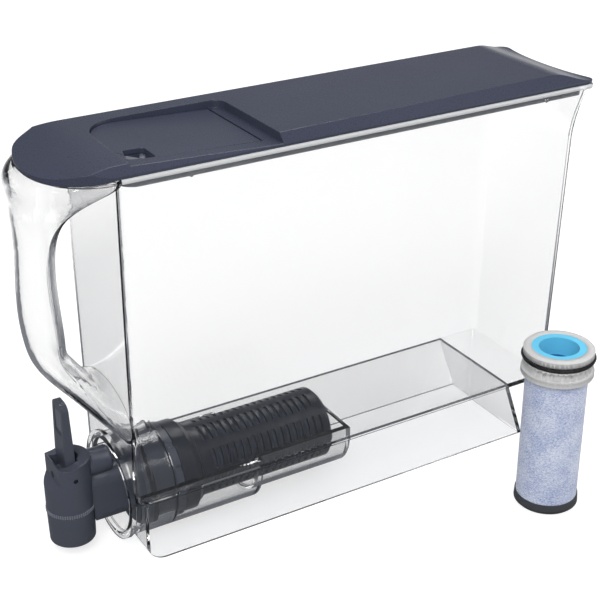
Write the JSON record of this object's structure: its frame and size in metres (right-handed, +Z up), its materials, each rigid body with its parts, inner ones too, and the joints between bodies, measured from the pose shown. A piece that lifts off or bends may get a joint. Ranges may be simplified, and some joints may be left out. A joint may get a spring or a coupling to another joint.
{
  "type": "gravity water filter dispenser",
  "caption": "Slim clear water tank with a filter cage inside, a lever tap in front, a carrying handle and a dark lid with a hinged fill door.",
  "frame": {"origin": "centre of the bounding box, at the face it stands on", "axes": "+Z up, +X from the tap towards the rear wall, +Y to the left of someone who faces the rear wall from the tap"},
  "size_m": [0.3846, 0.098, 0.266],
  "materials": {
    "clear_plastic": "gloss",
    "lid_plastic": "gloss",
    "tap_plastic": "satin",
    "steel": "brushed",
    "white_plastic": "matte",
    "seal_rubber": "matte",
    "cage_plastic": "satin",
    "grey_plastic": "matte",
    "light_blue_plastic": "matte",
    "deep_blue_plastic": "matte",
    "filter_fleece": "woven",
    "dark_plastic": "matte"
  },
  "bodies": {
    "tank_unit": {"tank": "clear_plastic", "tap_body": "tap_plastic", "outlet_sleeve": "tap_plastic", "lever_pin": "steel", "stem_seal": "seal_rubber", "mount_gasket": "seal_rubber", "lock_nut": "tap_plastic", "valve_spring": "steel"},
    "lid": {"lid": "lid_plastic"},
    "fill_door": {"fill_door": "lid_plastic"},
    "tap_lever": {"tap_lever": "tap_plastic"},
    "valve": {"valve_stem": "white_plastic", "valve_seal": "seal_rubber"},
    "filter": {"filter_cage": "cage_plastic", "filter_cap": "grey_plastic", "filter_o_ring": "seal_rubber", "filter_outlet_ring": "light_blue_plastic", "filter_core": "deep_blue_plastic", "filter_fleece": "filter_fleece", "filter_base": "dark_plastic"}
  },
  "joints": [
    {"name": "lid_lift", "type": "slide", "parent": "tank_unit", "child": "lid", "axis": [0, 0, 1], "range_m": [0, 0.08]},
    {"name": "door_hinge", "type": "hinge", "parent": "lid", "child": "fill_door", "pos_m": [-0.052, -0.003, 0.25988], "axis": [0, 1, 0], "range_deg": [0, 95]},
    {"name": "lever_pull", "type": "hinge", "parent": "tank_unit", "child": "tap_lever", "pos_m": [-0.1725, 0, 0.057], "axis": [0, -1, 0], "range_deg": [0, 22], "stiffness_Nm_per_rad": 0.2, "springref_deg": -17.19},
    {"name": "stem_drop", "type": "slide", "parent": "tank_unit", "child": "valve", "axis": [0, 0, -1], "range_m": [0, 0.00135], "deforming": ["valve_spring"]},
    {"name": "cage_twist", "type": "hinge", "parent": "tank_unit", "child": "filter", "pos_m": [-0.1, 0, 0.037], "axis": [1, 0, 0], "range_deg": [0, 60]}
  ],
  "couplings": [
    {"joint": "stem_drop", "follows": "lever_pull", "m_per_rad": 0.0035}
  ]
}
